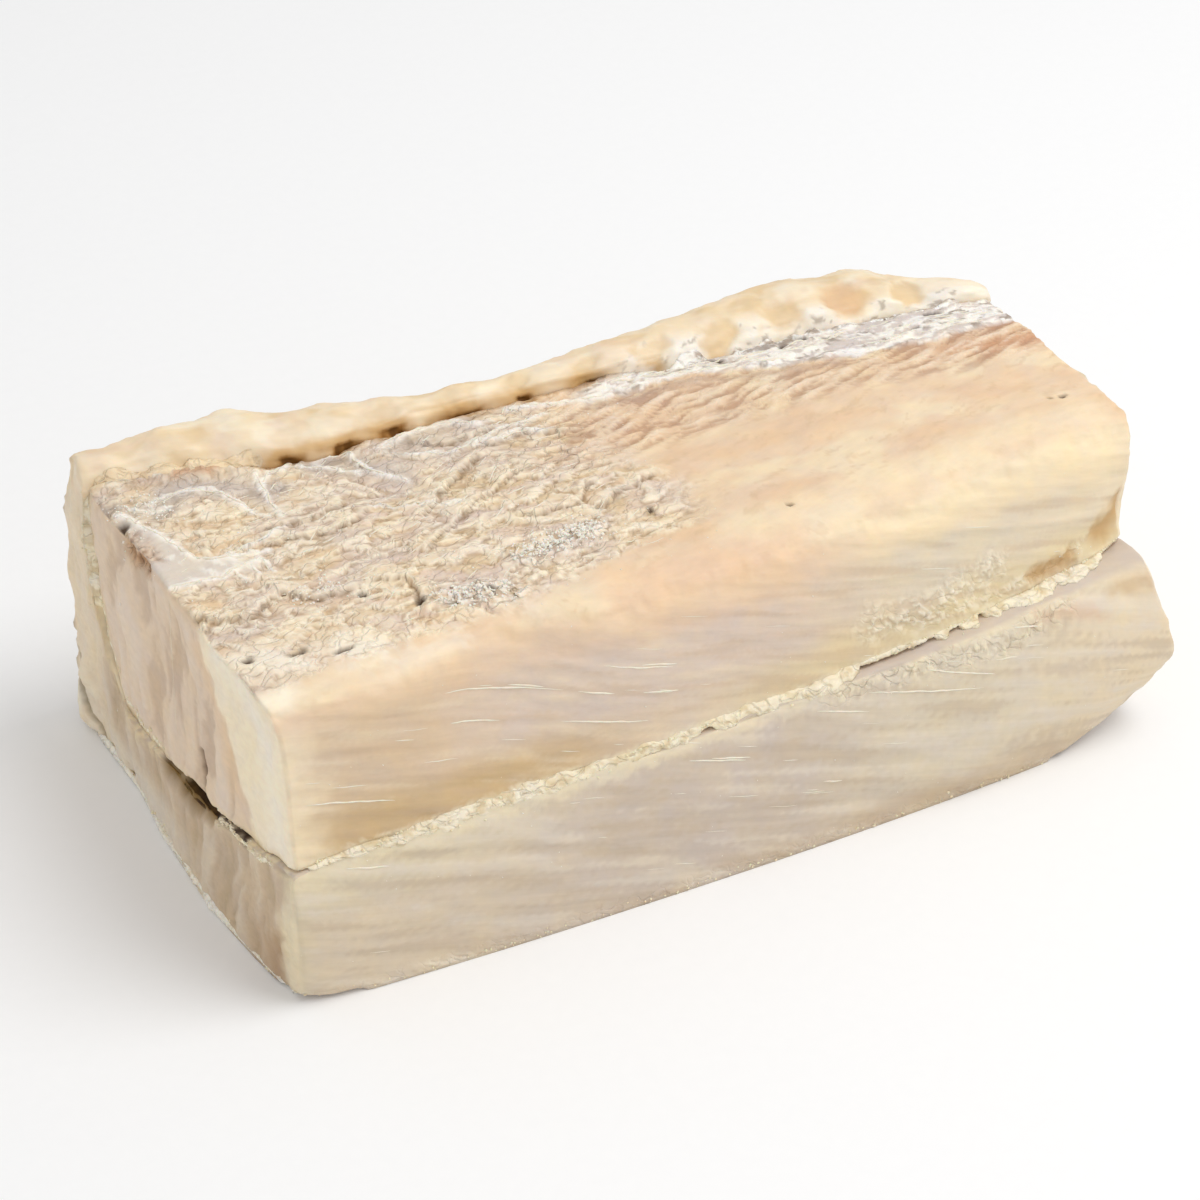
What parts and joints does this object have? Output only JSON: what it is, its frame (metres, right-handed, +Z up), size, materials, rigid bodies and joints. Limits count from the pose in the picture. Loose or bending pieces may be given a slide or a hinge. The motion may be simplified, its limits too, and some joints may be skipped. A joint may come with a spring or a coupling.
{
  "type": "salted dried cod block",
  "caption": "Square-cut block of salted dried cod: a thick pale slab nested in an outer layer that runs under it and turns up behind it to a scalloped rim.",
  "frame": {"origin": "bottom centre of the block's bounding box, on the surface it rests on", "axes": "+X along the length, away from the end with the open seam pocket; -Y towards the front cut; +Z up"},
  "size_m": [0.2154, 0.119, 0.0737],
  "materials": {
    "slab_flesh": "dry salt-cured flesh, matt with a faint sheen on the membrane",
    "layer_flesh": "dry salt-cured flesh, ochre and smoother on the rim"
  },
  "bodies": {
    "root": {"upper_layer": "slab_flesh", "lower_layer": "layer_flesh"}
  },
  "joints": []
}
